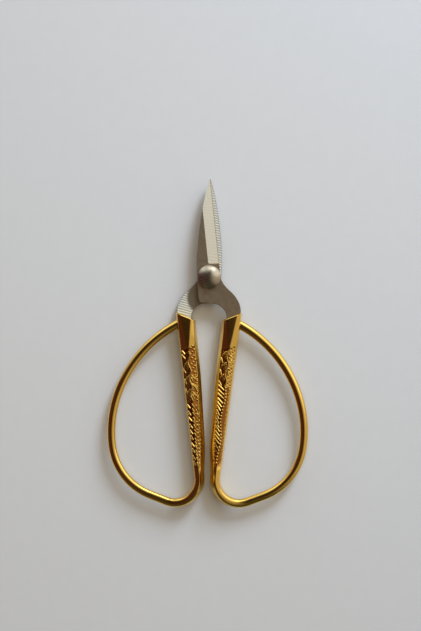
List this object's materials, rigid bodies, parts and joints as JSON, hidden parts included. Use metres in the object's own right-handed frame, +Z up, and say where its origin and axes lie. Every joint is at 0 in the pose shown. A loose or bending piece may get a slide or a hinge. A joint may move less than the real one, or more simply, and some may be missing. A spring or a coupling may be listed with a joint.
{
  "type": "embroidery scissors",
  "caption": "Small embroidery scissors with short pointed ground steel blades, a large domed rivet, and gold-coloured cast handles whose faceted bars run on into tapered D-shaped finger bows.",
  "frame": {"origin": "On the surface the closed scissors lie on, under the middle of their bounding box.", "axes": "+Y towards the blade tips along the long axis, +X to the handle of the half that lies in front, +Z up out of the flat face that shows the rivet's dome."},
  "size_m": [0.061, 0.1, 0.0067],
  "materials": {
    "blade_steel": "ground bevel and inner face, dull stamped outer face",
    "rivet_steel": "polished dome",
    "gold_casting": "bright gold plating over a casting with low relief on the bars"
  },
  "bodies": {
    "back_half": {"back_blade": "blade_steel", "left_handle": "gold_casting", "pivot_rivet": "rivet_steel", "rivet_washer": "rivet_steel"},
    "front_half": {"front_blade": "blade_steel", "right_handle": "gold_casting"}
  },
  "joints": [
    {"name": "pivot", "type": "hinge", "parent": "back_half", "child": "front_half", "pos_m": [0, 0.02009, 0.003], "axis": [0, 0, 1], "range_deg": [-1, 120]}
  ]
}
